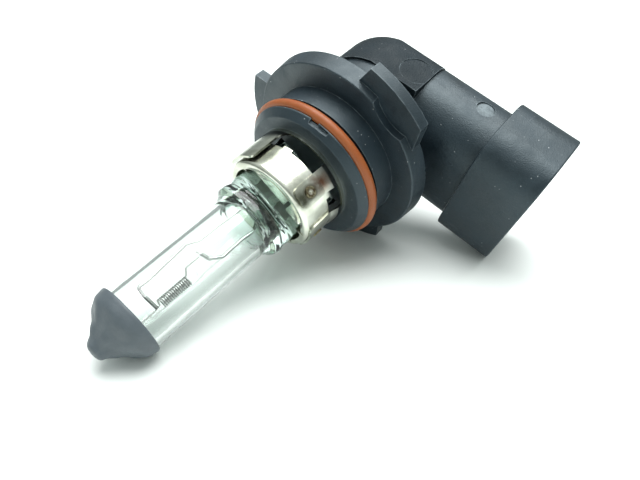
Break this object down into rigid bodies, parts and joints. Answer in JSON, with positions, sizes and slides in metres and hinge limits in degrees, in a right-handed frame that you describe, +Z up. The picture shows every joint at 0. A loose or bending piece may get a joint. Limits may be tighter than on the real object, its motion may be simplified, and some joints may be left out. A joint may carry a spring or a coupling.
{
  "type": "headlight bulb",
  "caption": "Headlight bulb with a dark-tipped quartz capsule, steel collar, bayonet flange, rubber seal ring and a right-angle two-pin connector.",
  "frame": {"origin": "where the bulb's axis crosses the flange's front face, which is the lamp's reference plane", "axes": "the bulb lies as it rests on a table: +Z up, the tip points to -Y and dips 17.9 degrees, and the connector's mouth points to +X and dips 21.3 degrees"},
  "size_m": [0.0488, 0.0642, 0.0317],
  "materials": {
    "clear_glass": "clear polished quartz, slightly wavy at the pinch",
    "tip_paint": "dark grey satin heat-proof paint over the glass tip",
    "tungsten_wire": "dark grey drawn tungsten",
    "lead_wire": "drawn molybdenum wire, satin",
    "molybdenum_foil": "thin rolled foil, satin",
    "holder_steel": "stamped stainless sheet, satin, with a brown heat tint by one weld",
    "weld_metal": "melted steel, uneven",
    "terminal_metal": "tinned stamped strip, satin",
    "white_ceramic": "unglazed, matt",
    "sealing_compound": "poured resin, glossy",
    "base_plastic": "moulded glass-filled nylon, fine-grained satin",
    "cap_plastic": "moulded glass-filled nylon, finely sparked texture",
    "seal_rubber": "brown-orange silicone, satin"
  },
  "bodies": {
    "root": {"glass_envelope": "clear_glass", "tip_coating": "tip_paint", "filament_coil": "tungsten_wire", "filament_front_leg": "tungsten_wire", "filament_rear_leg": "tungsten_wire", "long_lead_wire": "lead_wire", "short_lead_wire": "lead_wire", "foil_long": "molybdenum_foil", "foil_short": "molybdenum_foil", "outer_lead_long": "lead_wire", "outer_lead_short": "lead_wire", "capsule_cup": "holder_steel", "pinch_clip": "holder_steel", "retaining_ring": "holder_steel", "spot_welds": "weld_metal", "terminal_blade_long": "terminal_metal", "terminal_blade_short": "terminal_metal", "terminal_welds": "weld_metal", "throat_plug": "white_ceramic", "chamber_seal": "sealing_compound", "base_housing": "base_plastic", "rear_cap": "cap_plastic", "o_ring": "seal_rubber"}
  },
  "joints": []
}
